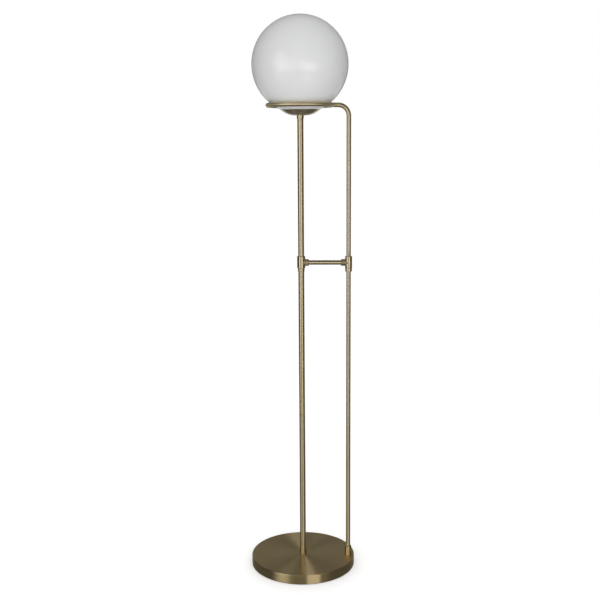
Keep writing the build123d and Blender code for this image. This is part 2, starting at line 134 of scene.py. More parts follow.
def makeFloor():
    half = backdrop["floorSize"] / 2
    nearest, farthest = backdrop["floorFade"]
    mesh = bpy.data.meshes.new("floor")
    mesh.from_pydata([(-half, -half, 0), (half, -half, 0), (half, half, 0), (-half, half, 0)], [],
                     [(0, 1, 2, 3)])
    floor = linkObject("floor", mesh)
    # matt paint: pale grey that takes the lamp's soft shadow
    material, tree = newMaterial("mattPaintedFloor")
    seen = seenByCamera(tree)
    lit = addNode(tree, "ShaderNodeBsdfDiffuse", {"Color": toLinear(backdrop["floorColour"])})
    lift = addNode(tree, "ShaderNodeMath", {"operation": "MULTIPLY", 1: backdrop["floorLift"]},
                   {0: seen.outputs[0]})
    glow = addNode(tree, "ShaderNodeEmission", {}, {"Strength": lift.outputs[0]})
    near = addNode(tree, "ShaderNodeAddShader", {}, {0: lit.outputs[0], 1: glow.outputs[0]})
    white = addNode(tree, "ShaderNodeEmission", {}, {"Strength": seen.outputs[0]})
    coords = addNode(tree, "ShaderNodeTexCoord")
    distance = addNode(tree, "ShaderNodeVectorMath", {"operation": "LENGTH"}, {0: coords.outputs["Object"]})
    fade = addNode(tree, "ShaderNodeMapRange",
                   {"interpolation_type": "SMOOTHSTEP", "From Min": nearest, "From Max": farthest},
                   {"Value": distance.outputs["Value"]})
    blended = addNode(tree, "ShaderNodeMixShader", {},
                      {0: fade.outputs[0], 1: near.outputs[0], 2: white.outputs[0]})
    addNode(tree, "ShaderNodeOutputMaterial", {}, {"Surface": blended.outputs[0]})
    mesh.materials.append(material)
    floor.visible_glossy = False      # shiny surfaces see the drum there


def makeWorld():
    world = bpy.data.worlds.new("studioWhite")
    world.use_nodes = True
    tree = world.node_tree
    tree.nodes.clear()
    seen = seenByCamera(tree)
    strength = addNode(tree, "ShaderNodeMapRange", {"To Min": backdrop["ambient"], "To Max": 1.0},
                       {"Value": seen.outputs[0]})
    background = addNode(tree, "ShaderNodeBackground", {"Color": toLinear("#FFFFFF")},
                         {"Strength": strength.outputs[0]})
    addNode(tree, "ShaderNodeOutputWorld", {}, {"Surface": background.outputs[0]})
    bpy.context.scene.world = world


# Softboxes light the matt surfaces and never show. Azimuths here and below are in degrees from the front
# towards the side post, and a softbox looks at the height "aim" over the foot.
softboxes = [
    {"name": "keyRight", "azimuth": 24.5, "distance": 2.5, "height": 0.9, "aim": 0.9,
     "size": (1.26, 1.8), "radiance": 1.0},
    {"name": "keyLeft", "azimuth": -41.0, "distance": 2.5, "height": 0.9, "aim": 0.9,
     "size": (1.20, 1.8), "radiance": 0.7},
    {"name": "frontFill", "azimuth": 0.0, "distance": 3.0, "height": 1.1, "aim": 1.1,
     "size": (2.6, 2.0), "radiance": 1.75},
    {"name": "lowBounce", "azimuth": -6.0, "distance": 1.2, "height": 0.12, "aim": 1.3,
     "size": (1.3, 0.8), "radiance": 0.8},
    {"name": "backFill", "azimuth": 180.0, "distance": 3.0, "height": 1.2, "aim": 1.2,
     "size": (3.2, 2.2), "radiance": 1.4},
]


def makeSoftbox(box):
    width, height = box["size"]
    turn = math.radians(box["azimuth"])
    data = bpy.data.lights.new(box["name"], "AREA")
    data.shape = "RECTANGLE"
    data.size = width
    data.size_y = height
    data.energy = box["radiance"] * math.pi * width * height
    light = linkObject(box["name"], data)
    place = Vector((box["distance"] * math.sin(turn), -box["distance"] * math.cos(turn), box["height"]))
    aim = Vector((0, 0, box["aim"]))
    light.location = place
    light.rotation_euler = (aim - place).to_track_quat("-Z", "Y").to_euler()
    light.visible_glossy = False
    light.visible_camera = False
    light.visible_transmission = False


def hangInReflections(name, mesh, material):
    # only shiny surfaces see it, and it lights nothing else
    material.cycles.emission_sampling = "NONE"
    mesh.materials.append(material)
    piece = linkObject(name, mesh)
    piece.visible_camera = False
    piece.visible_diffuse = False
    piece.visible_transmission = False
    piece.visible_volume_scatter = False
    piece.visible_shadow = False


# A drum of cloth stands round the set, and is what the metal shows between the lit panels. A glow of 1 is
# white. Below the floor the drum holds what a glossy floor would mirror.
drum = {
    "radius": 3.4,
    "foot": -1.6,
    "top": 3.4,
    "sides": 64,
    "colour": "#FCFAEF",
    "sideGlow": 0.03,            # the dark sides draw the edges of the tubes
    "sideHighGlow": 0.14,        # their upper part, which the foot mirrors when it is seen from a side
    "backGlow": 0.19,            # the wall behind the lamp, which the foot mirrors
    "backLowGlow": 0.6,          # its lower part lights the posts when they are seen from behind
    "backWidth": (38, 62),       # in degrees from straight behind, where that wall ends
    "floorGlow": 0.13,           # what lies in front of the foot, in a glossy floor
    "frontGlow": 1.10,           # the lit room behind the camera
    "frontWidth": (48, 66),      # in degrees from straight ahead, where the room ends
    "ceilingGlow": 0.12,
    "ceilingFade": 0.3,          # the ceiling begins this far below the top
}
drumFades = {
    # each goes from its first value to its second between two heights
    "behind": {"heights": (0.55, 1.0), "values": (drum["backLowGlow"], drum["backGlow"])},
    "beside": {"heights": (1.2, 1.8), "values": (drum["sideGlow"], drum["sideHighGlow"])},
    "ground": {"heights": (-0.8, -0.2), "values": (drum["floorGlow"], drum["backLowGlow"])},
    "roomFoot": {"heights": (0.15, 0.45), "values": (0.0, 1.0)},      # the lower edge of the lit room
    "roomHead": {"heights": (1.5, 1.9), "values": (1.0, 0.0)},        # and the upper one
    "floorLine": {"heights": (-0.25, 0.05), "values": (0.0, 1.0)},    # from the mirrored floor to the walls
}


def makeDrum():
    shell = bmesh.new()
    bmesh.ops.create_cone(shell, cap_ends=True, segments=drum["sides"], radius1=drum["radius"],
                          radius2=drum["radius"], depth=drum["top"] - drum["foot"])
    bmesh.ops.translate(shell, vec=(0, 0, (drum["top"] + drum["foot"]) / 2), verts=shell.verts)
    mesh = bpy.data.meshes.new("darkDrum")
    shell.to_mesh(mesh)
    shell.free()
    # woven studio cloth: unpatterned tones that run softly into each other
    material, tree = newMaterial("wovenCloth")
    coords = addNode(tree, "ShaderNodeTexCoord")
    place = addNode(tree, "ShaderNodeSeparateXYZ", {}, {0: coords.outputs["Object"]})
    sideways = addNode(tree, "ShaderNodeMath", {"operation": "ABSOLUTE"}, {0: place.outputs["X"]})
    around = addNode(tree, "ShaderNodeMath", {"operation": "ARCTAN2"},
                     {0: sideways.outputs[0], 1: place.outputs["Y"]})
    fades = {}
    for name, fade in drumFades.items():
        low, high = fade["heights"]
        first, last = fade["values"]
        fades[name] = addNode(tree, "ShaderNodeMapRange",
                              {"interpolation_type": "SMOOTHSTEP", "From Min": low, "From Max": high,
                               "To Min": first, "To Max": last}, {"Value": place.outputs["Z"]})
    near, far = (math.radians(a) for a in drum["backWidth"])
    wall = addNode(tree, "ShaderNodeMapRange",
                   {"interpolation_type": "SMOOTHSTEP", "From Min": near, "From Max": far},
                   {"Value": around.outputs[0], "To Min": fades["behind"].outputs[0],
                    "To Max": fades["beside"].outputs[0]})
    mirrored = addNode(tree, "ShaderNodeMapRange",
                       {"interpolation_type": "SMOOTHSTEP", "From Min": near, "From Max": far,
                        "To Max": drum["floorGlow"]},
                       {"Value": around.outputs[0], "To Min": fades["ground"].outputs[0]})
    near, far = (math.radians(180 - a) for a in drum["frontWidth"])
    ahead = addNode(tree, "ShaderNodeMapRange",
                    {"interpolation_type": "SMOOTHSTEP", "From Min": far, "From Max": near},
                    {"Value": around.outputs[0]})
    room = addNode(tree, "ShaderNodeMath", {"operation": "MULTIPLY"},
                   {0: ahead.outputs[0], 1: fades["roomFoot"].outputs[0]})
    room = addNode(tree, "ShaderNodeMath", {"operation": "MULTIPLY"},
                   {0: room.outputs[0], 1: fades["roomHead"].outputs[0]})
    wall = addNode(tree, "ShaderNodeMix", {"data_type": "FLOAT", 3: drum["frontGlow"]},
                   {0: room.outputs[0], 2: wall.outputs[0]})
    wall = addNode(tree, "ShaderNodeMix", {"data_type": "FLOAT"},
                   {0: fades["floorLine"].outputs[0], 2: mirrored.outputs[0], 3: wall.outputs[0]})
    ceiling = addNode(tree, "ShaderNodeMapRange",
                      {"From Min": drum["top"] - drum["ceilingFade"], "From Max": drum["top"]},
                      {"Value": place.outputs["Z"]})
    glow = addNode(tree, "ShaderNodeMix", {"data_type": "FLOAT", 3: drum["ceilingGlow"]},
                   {0: ceiling.outputs[0], 2: wall.outputs[0]})
    cloth = addNode(tree, "ShaderNodeEmission", {"Color": toLinear(drum["colour"])},
                    {"Strength": glow.outputs[0]})
    addNode(tree, "ShaderNodeOutputMaterial", {}, {"Surface": cloth.outputs[0]})
    hangInReflections("darkDrum", mesh, material)


# What polished metal and glass see of the two softboxes, down into a glossy floor. The light fades over
# "edge", a share of the width, at each side. Going up, it changes from "mirrored" to "middle" between the
# heights "toMiddle", and on to "radiance" between the heights "toRadiance".
panelArc = {"distance": 2.5, "steps": 24, "toMiddle": (-0.8, -0.3), "toRadiance": (0.0, 0.8)}
panels = [
    {"name": "panelRight", "azimuth": (10.3, 38.7), "height": (-1.3, 1.3), "edge": 0.02,
     "radiance": 1.65, "middle": 0.55, "mirrored": 1.3},
    {"name": "panelLeft", "azimuth": (-68.0, -18.0), "height": (-1.3, 2.4), "edge": 0.45,
     "radiance": 1.6, "middle": 0.5, "mirrored": 0.55},
]


def makePanel(panel):
    steps = panelArc["steps"]
    first, last = (math.radians(a) for a in panel["azimuth"])
    corners, faces, across = [], [], []
    for i in range(steps + 1):
        turn = first + (last - first) * i / steps
        for z in panel["height"]:
            corners.append((panelArc["distance"] * math.sin(turn), -panelArc["distance"] * math.cos(turn), z))
    for i in range(steps):
        faces.append((2 * i, 2 * i + 2, 2 * i + 3, 2 * i + 1))
        across += [(i / steps, 0), ((i + 1) / steps, 0), ((i + 1) / steps, 1), (i / steps, 1)]
    mesh = bpy.data.meshes.new(panel["name"])
    mesh.from_pydata(corners, [], faces)
    spread = mesh.uv_layers.new(name="across")
    for loop, spot in zip(spread.data, across):
        loop.uv = spot
    # diffuser cloth in front of a lamp: white light with soft edges
    material, tree = newMaterial("diffuserCloth")
    coords = addNode(tree, "ShaderNodeTexCoord")
    place = addNode(tree, "ShaderNodeSeparateXYZ", {}, {0: coords.outputs["UV"]})
    # how far in from the nearer side, as a share of the width
    inset = addNode(tree, "ShaderNodeMath", {"operation": "PINGPONG", 1: 0.5}, {0: place.outputs["X"]})
    level = addNode(tree, "ShaderNodeSeparateXYZ", {}, {0: coords.outputs["Object"]})
    low, high = panelArc["toMiddle"]
    lower = addNode(tree, "ShaderNodeMapRange",
                    {"interpolation_type": "SMOOTHSTEP", "From Min": low, "From Max": high,
                     "To Min": panel["mirrored"], "To Max": panel["middle"]}, {"Value": level.outputs["Z"]})
    low, high = panelArc["toRadiance"]
    upper = addNode(tree, "ShaderNodeMapRange",
                    {"interpolation_type": "SMOOTHSTEP", "From Min": low, "From Max": high,
                     "To Max": panel["radiance"]}, {"Value": level.outputs["Z"], "To Min": lower.outputs[0]})
    fade = addNode(tree, "ShaderNodeMapRange",
                   {"interpolation_type": "SMOOTHSTEP", "From Max": panel["edge"]},
                   {"Value": inset.outputs[0], "To Max": upper.outputs[0]})
    lit = addNode(tree, "ShaderNodeEmission", {}, {"Strength": fade.outputs[0]})
    clear = addNode(tree, "ShaderNodeBsdfTransparent")
    both = addNode(tree, "ShaderNodeAddShader", {}, {0: lit.outputs[0], 1: clear.outputs[0]})
    addNode(tree, "ShaderNodeOutputMaterial", {}, {"Surface": both.outputs[0]})
    hangInReflections(panel["name"], mesh, material)


# The lamp overhead, which draws the bright wedge across the foot. It shines downwards only.
overhead = {
    "radiance": 2.0,
    "corners": ((0.008, 0.258, 0.90), (0.155, 0.258, 0.90), (0.070, 0.646, 0.90), (-0.016, 0.646, 0.90)),
}


def makeOverhead():
    mesh = bpy.data.meshes.new("panelOverhead")
    mesh.from_pydata(overhead["corners"], [], [(3, 2, 1, 0)])
    # the same cloth drawn tight: even white, seen from below only
    material, tree = newMaterial("tightDiffuserCloth")
    lit = addNode(tree, "ShaderNodeEmission", {"Strength": overhead["radiance"]})
    clear = addNode(tree, "ShaderNodeBsdfTransparent")
    side = addNode(tree, "ShaderNodeNewGeometry")
    both = addNode(tree, "ShaderNodeMixShader", {},
                   {0: side.outputs["Backfacing"], 1: lit.outputs[0], 2: clear.outputs[0]})
    addNode(tree, "ShaderNodeOutputMaterial", {}, {"Surface": both.outputs[0]})
    hangInReflections("panelOverhead", mesh, material)


makeFloor()
makeWorld()
makeDrum()
for panel in panels:
    makePanel(panel)
makeOverhead()
for softbox in softboxes:
    makeSoftbox(softbox)
print("studio built")

# Where most of a noise lies between zero and one: a soft noise, and one with fine detail.
softRange = {"From Min": 0.35, "From Max": 0.65}
fineRange = {"From Min": 0.3, "From Max": 0.7}


def patches(tree, source, size, low=0.0, high=1.0):
    # clouds of about this size in millimetres, which run between two values
    noise = addNode(tree, "ShaderNodeTexNoise", {"Scale": 1 / (size * mm), "Detail": 3.0}, {"Vector": source})
    return addNode(tree, "ShaderNodeMapRange", {**softRange, "To Min": low, "To Max": high},
                   {"Value": noise.outputs["Fac"]})


# Antique brass. Sizes are in millimetres. Real brush lines are about 0.1 mm apart, which is too fine to
# show, so they are drawn a few times coarser and very faint.
tubeFinish = {
    "colour": "#D6C5A1",
    "patina": "#D0BD98",
    "patinaSize": 111,           # across a cloud of the second colour
    "lineSpacing": 0.5,
    "lineLength": 14,            # in spacings
    "lineDepth": 0.04,           # how much darker the deepest line is
    "lineHeight": 0.02,
    "bump": 0.05,                # how much of that height shows
    "roughness": (0.29, 0.32),
    "anisotropic": 1.0,
    "lacquer": 0.6,
    "lacquerRoughness": 0.2,
}
# painted light: the ring's colour and patina are lighter than the tubes' brass and stand in for the brighter
# light that the ring reflects
ringPaintedLightFinish = dict(tubeFinish, colour="#E6D6B2", patina="#DFCEA8")
fittingFinish = dict(tubeFinish, roughness=(0.27, 0.30), bump=0.04, lineSpacing=0.4)
ferruleFinish = dict(fittingFinish, colour="#D6BF8B", patina="#CFB681")
dishFinish = dict(fittingFinish, colour="#CFC1A4", patina="#C8B99B")
footFinish = dict(tubeFinish, colour="#CCB88B", patina="#C6B085", roughness=(0.275, 0.305),
                  lineSpacing=0.35, lineDepth=0.03, bump=0.04, lacquer=0.15)
quarterTurn = 0.25               # turns the stretch of a highlight from round the axis to along it


def lacqueredBrass(tree, finish, source, lineSpace, tangent, turn):
    # colour, roughness and height follow the lines, over patches of patina and under clear lacquer
    lines = addNode(tree, "ShaderNodeTexNoise", {"Scale": 1.0, "Detail": 2.0, "Roughness": 0.6},
                    {"Vector": lineSpace})
    patina = patches(tree, source, finish["patinaSize"])
    tint = addNode(tree, "ShaderNodeMix",
                   {"data_type": "RGBA", 6: toLinear(finish["colour"]), 7: toLinear(finish["patina"])},
                   {0: patina.outputs[0]})
    lineTone = addNode(tree, "ShaderNodeMapRange",
                       {**fineRange, "To Min": 1 - finish["lineDepth"], "To Max": 1.0},
                       {"Value": lines.outputs["Fac"]})
    colour = addNode(tree, "ShaderNodeVectorMath", {"operation": "SCALE"},
                     {0: tint.outputs[2], "Scale": lineTone.outputs[0]})
    smoothest, roughest = finish["roughness"]
    rough = addNode(tree, "ShaderNodeMapRange", {**fineRange, "To Min": smoothest, "To Max": roughest},
                    {"Value": lines.outputs["Fac"]})
    bump = addNode(tree, "ShaderNodeBump",
                   {"Strength": finish["bump"], "Distance": finish["lineHeight"] * mm},
                   {"Height": lines.outputs["Fac"]})
    shader = addNode(tree, "ShaderNodeBsdfPrincipled",
                     {"Metallic": 1.0, "Anisotropic": finish["anisotropic"], "Anisotropic Rotation": turn,
                      "Coat Weight": finish["lacquer"], "Coat Roughness": finish["lacquerRoughness"]},
                     {"Base Color": colour.outputs[0], "Roughness": rough.outputs[0],
                      "Normal": bump.outputs[0], "Tangent": tangent.outputs[0]})
    addNode(tree, "ShaderNodeOutputMaterial", {}, {"Surface": shader.outputs[0]})


def brushedBrass(name, finish, axis, mapped=False):
    # Belt-brushed round the piece: the lines stretch a highlight along the tube and leave it sharp round
    # the tube. A bent tube is mapped, with U along it.
    material, tree = newMaterial(name)
    coords = addNode(tree, "ShaderNodeTexCoord")
    if mapped:
        source = coords.outputs["UV"]
        tangent = addNode(tree, "ShaderNodeTangent", {"direction_type": "UV_MAP", "uv_map": "brush"})
        turn = 0.0
    else:
        source = coords.outputs["Object"]
        tangent = addNode(tree, "ShaderNodeTangent", {"direction_type": "RADIAL", "axis": axis})
        turn = quarterTurn
    fine = 1 / (finish["lineSpacing"] * mm)
    scales = [fine if letter == axis else fine / finish["lineLength"] for letter in "XYZ"]
    spread = addNode(tree, "ShaderNodeVectorMath", {"operation": "MULTIPLY", 1: scales}, {0: source})
    lacqueredBrass(tree, finish, source, spread.outputs[0], tangent, turn)
    return material


def turnedBrass(name, finish):
    # Spun and turned on a lathe: rings round the centre, so a lamp draws a bright wedge from the middle
    # to the edge.
    material, tree = newMaterial(name)
    coords = addNode(tree, "ShaderNodeTexCoord")
    source = coords.outputs["Object"]
    flat = addNode(tree, "ShaderNodeVectorMath", {"operation": "MULTIPLY", 1: (1, 1, 0)}, {0: source})
    radius = addNode(tree, "ShaderNodeVectorMath", {"operation": "LENGTH"}, {0: flat.outputs[0]})
    height = addNode(tree, "ShaderNodeSeparateXYZ", {}, {0: source})
    section = addNode(tree, "ShaderNodeCombineXYZ", {},
                      {"X": radius.outputs["Value"], "Y": height.outputs["Z"]})
    spread = addNode(tree, "ShaderNodeVectorMath",
                     {"operation": "SCALE", "Scale": 1 / (finish["lineSpacing"] * mm)},
                     {0: section.outputs[0]})
    tangent = addNode(tree, "ShaderNodeTangent", {"direction_type": "RADIAL", "axis": "Z"})
    lacqueredBrass(tree, finish, source, spread.outputs[0], tangent, quarterTurn)
    return material


# the tubes: straw-coloured metal with soft stripes of light along it
brassUpright = brushedBrass("brushedBrassUpright", tubeFinish, "Z")
brassAcross = brushedBrass("brushedBrassAcross", tubeFinish, "X")
brassBent = brushedBrass("brushedBrassBent", tubeFinish, "X", True)
brassRingPaintedLight = brushedBrass("brushedBrassRingPaintedLight", ringPaintedLightFinish, "X", True)        # the tubes' brass drawn paler: painted light for the brighter reflections along the ring
brassFitting = brushedBrass("turnedBrassFitting", fittingFinish, "Z")      # a little smoother, finer lines
brassFerrule = brushedBrass("polishedBrassFerrule", ferruleFinish, "Z")    # smoother and yellower
brassDish = brushedBrass("spunBrassDish", dishFinish, "Z")                 # smoother and greyer
brassFoot = turnedBrass("turnedBrassFoot", footFinish)                     # deeper, under thin lacquer

# Blown opal glass: a milk-white body under a clear, fire-polished skin, so it is soft white with small
# sharp reflections. Sizes are in millimetres.
globeFinish = {
    "colour": "#FAFBF9",
    "cloud": "#F7F9F7",
    "cloudSize": 111,
    "swellSize": 71.5,           # the slow waves of a blown skin
    "swellHeight": 0.5,
    "swell": 0.08,               # how much of that height shows
    "roughness": (0.03, 0.07),
    "polishSize": 33.3,          # the roughness changes over this distance
    "scatter": 0.7,
    "scatterDepth": 6,
    "scatterReach": (1.0, 1.0, 0.95),      # blue goes a little less far than red and green
}


def opalGlass(name, finish):
    material, tree = newMaterial(name)
    coords = addNode(tree, "ShaderNodeTexCoord")
    source = coords.outputs["Object"]
    cloud = patches(tree, source, finish["cloudSize"])
    tint = addNode(tree, "ShaderNodeMix",
                   {"data_type": "RGBA", 6: toLinear(finish["colour"]), 7: toLinear(finish["cloud"])},
                   {0: cloud.outputs[0]})
    swell = addNode(tree, "ShaderNodeTexNoise", {"Scale": 1 / (finish["swellSize"] * mm), "Detail": 1.0},
                    {"Vector": source})
    bump = addNode(tree, "ShaderNodeBump",
                   {"Strength": finish["swell"], "Distance": finish["swellHeight"] * mm},
                   {"Height": swell.outputs["Fac"]})
    rough = patches(tree, source, finish["polishSize"], *finish["roughness"])
    shader = addNode(tree, "ShaderNodeBsdfPrincipled",
                     {"IOR": 1.5, "Subsurface Weight": finish["scatter"],
                      "Subsurface Radius": finish["scatterReach"],
                      "Subsurface Scale": finish["scatterDepth"] * mm},
                     {"Base Color": tint.outputs[2], "Roughness": rough.outputs[0],
                      "Normal": bump.outputs[0]})
    addNode(tree, "ShaderNodeOutputMaterial", {}, {"Surface": shader.outputs[0]})
    return material


globeGlass = opalGlass("blownOpalGlass", globeFinish)

# A solid that is one stuff all through, with the grain that its making left. Grain and depth are in
# millimetres, and a grain under about half a millimetre is drawn at that size, so that it shows.
plainSkin = {
    "roughSpread": 0.05,         # the roughness goes this far up and down with the grain
    "grainShare": 0.15,          # a grain's size as a share of the patches of the second colour
    "bump": 0.6,                 # how much of the grain's depth shows
    "glazeRoughness": 0.06,
    "scatterDepth": 1.5,
}
plainSockets = {"metallic": "Metallic", "ior": "IOR", "glaze": "Coat Weight", "scatter": "Subsurface Weight"}


def plainStuff(name, finish):
    material, tree = newMaterial(name)
    coords = addNode(tree, "ShaderNodeTexCoord")
    source = coords.outputs["Object"]
    grain = addNode(tree, "ShaderNodeTexNoise",
                    {"Scale": 1 / (finish["grain"] * mm), "Detail": 4.0, "Roughness": 0.6},
                    {"Vector": source})
    tone = patches(tree, source, finish["grain"] / plainSkin["grainShare"])
    tint = addNode(tree, "ShaderNodeMix",
                   {"data_type": "RGBA", 6: toLinear(finish["colour"]), 7: toLinear(finish["second"])},
                   {0: tone.outputs[0]})
    rough = addNode(tree, "ShaderNodeMapRange",
                    {**fineRange, "To Min": finish["roughness"] - plainSkin["roughSpread"],
                     "To Max": finish["roughness"] + plainSkin["roughSpread"]},
                    {"Value": grain.outputs["Fac"]})
    bump = addNode(tree, "ShaderNodeBump",
                   {"Strength": plainSkin["bump"], "Distance": finish["depth"] * mm},
                   {"Height": grain.outputs["Fac"]})
    settings = {"Coat Roughness": plainSkin["glazeRoughness"],
                "Subsurface Scale": plainSkin["scatterDepth"] * mm}
    for key, socket in plainSockets.items():
        if key in finish:
            settings[socket] = finish[key]
    shader = addNode(tree, "ShaderNodeBsdfPrincipled", settings,
                     {"Base Color": tint.outputs[2], "Roughness": rough.outputs[0],
                      "Normal": bump.outputs[0]})
    addNode(tree, "ShaderNodeOutputMaterial", {}, {"Surface": shader.outputs[0]})
    return material


# moulded EVA foam: near black and quite dull
evaFoam = plainStuff("mouldedEvaFoam", {
    "colour": "#1B1A19", "second": "#232120", "roughness": 0.9, "ior": 1.48, "grain": 0.8, "depth": 0.15})
# iron from a sand mould: dark grey, pitted like coarse sandpaper, with a weak shine
castIron = plainStuff("sandCastIron", {
    "colour": "#3A3937", "second": "#2B2A29", "roughness": 0.7, "metallic": 0.6, "grain": 1.2, "depth": 0.25})
# moulded nylon: black with a satin sheen
blackNylon = plainStuff("mouldedNylon", {
    "colour": "#141414", "second": "#1B1B1B", "roughness": 0.45, "ior": 1.53, "grain": 0.5, "depth": 0.02})
# extruded PVC: smooth black with a soft streak of light
pvcSheath = plainStuff("extrudedPvc", {
    "colour": "#17181A", "second": "#1F2022", "roughness": 0.4, "ior": 1.53, "grain": 1.0, "depth": 0.02})
# zinc-plated steel: cool pale grey metal, a little cloudy
zincSteel = plainStuff("zincPlatedSteel", {
    "colour": "#C3C5C6", "second": "#AEB2B6", "roughness": 0.32, "metallic": 1.0, "grain": 0.7,
    "depth": 0.01})
# moulded silicone: milky and matt, as light goes a little way in
silicone = plainStuff("mouldedSilicone", {
    "colour": "#DAD9D4", "second": "#E2E1DC", "roughness": 0.6, "ior": 1.42, "scatter": 0.4, "grain": 0.7,
    "depth": 0.02})
# pressed phenolic: brown-black with a hard shine
phenolic = plainStuff("pressedPhenolic", {
    "colour": "#1C1815", "second": "#241E1A", "roughness": 0.28, "ior": 1.55, "grain": 0.6, "depth": 0.015})
# glazed porcelain: warm white with sharp lights in the glaze
porcelain = plainStuff("glazedPorcelain", {
    "colour": "#E6E2D8", "second": "#DDD8CC", "roughness": 0.25, "ior": 1.5, "glaze": 0.6, "grain": 1.5,
    "depth": 0.03})
# stamped brass strip: bright yellow metal, smooth from the press
stampedBrass = plainStuff("stampedBrass", {
    "colour": "#E0C68A", "second": "#D3B677", "roughness": 0.28, "metallic": 1.0, "grain": 0.8,
    "depth": 0.01})
# lead-free solder: grey metal that set with slow ripples
solder = plainStuff("leadFreeSolder", {
    "colour": "#BDBDBA", "second": "#A8A8A5", "roughness": 0.3, "metallic": 1.0, "grain": 1.2, "depth": 0.08})
# fused black glass: deep black with mirror-like lights
blackGlass = plainStuff("fusedBlackGlass", {
    "colour": "#0E0E10", "second": "#151517", "roughness": 0.08, "ior": 1.52, "grain": 2.0, "depth": 0.03})
# nickel-plated brass: warm silver, brighter than the zinc
nickelPlate = plainStuff("nickelPlatedBrass", {
    "colour": "#CFCBC0", "second": "#C2BDB1", "roughness": 0.22, "metallic": 1.0, "grain": 0.7,
    "depth": 0.01})
# moulded PBT: plain white with a low sheen
whitePbt = plainStuff("mouldedPbt", {
    "colour": "#EDEDEA", "second": "#E7E7E3", "roughness": 0.35, "ior": 1.55, "scatter": 0.1, "grain": 0.5,
    "depth": 0.01})
# solder mask printed on the light board: flat cool white
boardCoat = plainStuff("whiteSolderMask", {
    "colour": "#E4E6E6", "second": "#D8DCDC", "roughness": 0.4, "ior": 1.5, "grain": 0.6, "depth": 0.01})
# frosted polycarbonate: soft white without sharp lights, as light spreads inside it
opalPolycarbonate = plainStuff("frostedPolycarbonate", {
    "colour": "#F4F4F1", "second": "#F0F0EC", "roughness": 0.42, "ior": 1.58, "scatter": 0.5, "grain": 0.4,
    "depth": 0.01})
print("materials made:", len(bpy.data.materials))


def standIn(piece, material, body, node):
    # the piece takes the place of a CAD node and moves with the same body
    piece.data.materials.append(material)
    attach(piece, body)
    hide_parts(node)


def skinTube(name, walls, lengths, closed):
    # walls are the outer and, for an open tube, the inner skin, each a list of rows of points round the tube;
    # the map "brush" runs along the tube in U and round it in V, in metres
    sides = len(walls[0][0])
    rows = len(walls[0])
    corners = [point for wall in walls for row in wall for point in row]
    faces, spots = [], []
    for k, wall in enumerate(walls):
        base = k * rows * sides
        girth = sum((wall[0][i] - wall[0][i - 1]).length for i in range(sides))
        for r in range(rows if closed else rows - 1):
            this, ahead = base + r * sides, base + (r + 1) % rows * sides
            start, end = lengths[r], lengths[r + 1]
            for i in range(sides):
                j = (i + 1) % sides
                around, further = girth * i / sides, girth * (i + 1) / sides
                quad = [this + i, this + j, ahead + j, ahead + i]
                spot = [(start, around), (start, further), (end, further), (end, around)]
                faces.append(quad[::-1] if k == 0 else quad)
                spots.append(spot[::-1] if k == 0 else spot)
    if not closed:
        # a flat annulus joins the two skins at each end
        for row, first in ((0, True), (rows - 1, False)):
            outer, inner = row * sides, (rows + row) * sides
            for i in range(sides):
                j = (i + 1) % sides
                quad = [outer + i, outer + j, inner + j, inner + i]
                faces.append(quad if first else quad[::-1])
                spots.append([(lengths[row], v) for v in (0.0, mm, mm, 0.0)])
    mesh = bpy.data.meshes.new(name)
    mesh.from_pydata(corners, [], faces)
    brush = mesh.uv_layers.new(name="brush")
    for face, spot in zip(mesh.polygons, spots):
        face.use_smooth = closed or face.index < len(faces) - 2 * sides
        for loop, place in zip(face.loop_indices, spot):
            brush.data[loop].uv = place
    return linkObject(name, mesh)


def circleOf(centre, side, up, radius, sides):
    turns = [math.tau * i / sides for i in range(sides)]
    return [centre + radius * (math.cos(t) * side + math.sin(t) * up) for t in turns]


# The ring round the globe, with brush lines that follow it.
ring = {"sides": 48, "steps": 288}       # round the bar and round the globe
ringLow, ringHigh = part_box("halo_ring")
ringTube = (ringHigh.z - ringLow.z) / 2
ringRadius = (ringHigh.x - ringLow.x) / 2 - ringTube
ringHeight = (ringHigh.z + ringLow.z) / 2


def makeRing():
    up = Vector((0, 0, 1))
    rows = []
    for i in range(ring["steps"]):
        turn = math.tau * i / ring["steps"]
        out = Vector((math.cos(turn), math.sin(turn), 0))
        rows.append(circleOf(ringRadius * out + ringHeight * up, out, up, ringTube, ring["sides"]))
    lengths = [math.tau * ringRadius * i / ring["steps"] for i in range(ring["steps"] + 1)]
    standIn(skinTube("ring", [rows], lengths, True), brassRingPaintedLight, "root", "halo_ring")


# The arm: up from the side post, round a quarter bend and in to the ring.
arm = {
    "sides": 48,
    "wall": 1.2 * mm,
    "straight": 8.0 * mm,        # between the bend and the ring
    "copeGap": 0.05 * mm,        # the end is filed to the ring's round, this far off it
    "endBevel": 0.35 * mm,       # the softened edge that shows as a fine dark line at each joint
    "endRow": 0.1 * mm,          # the last row of faces before the bevel
    "uprightSteps": 12,
    "bendSteps": 40,
}


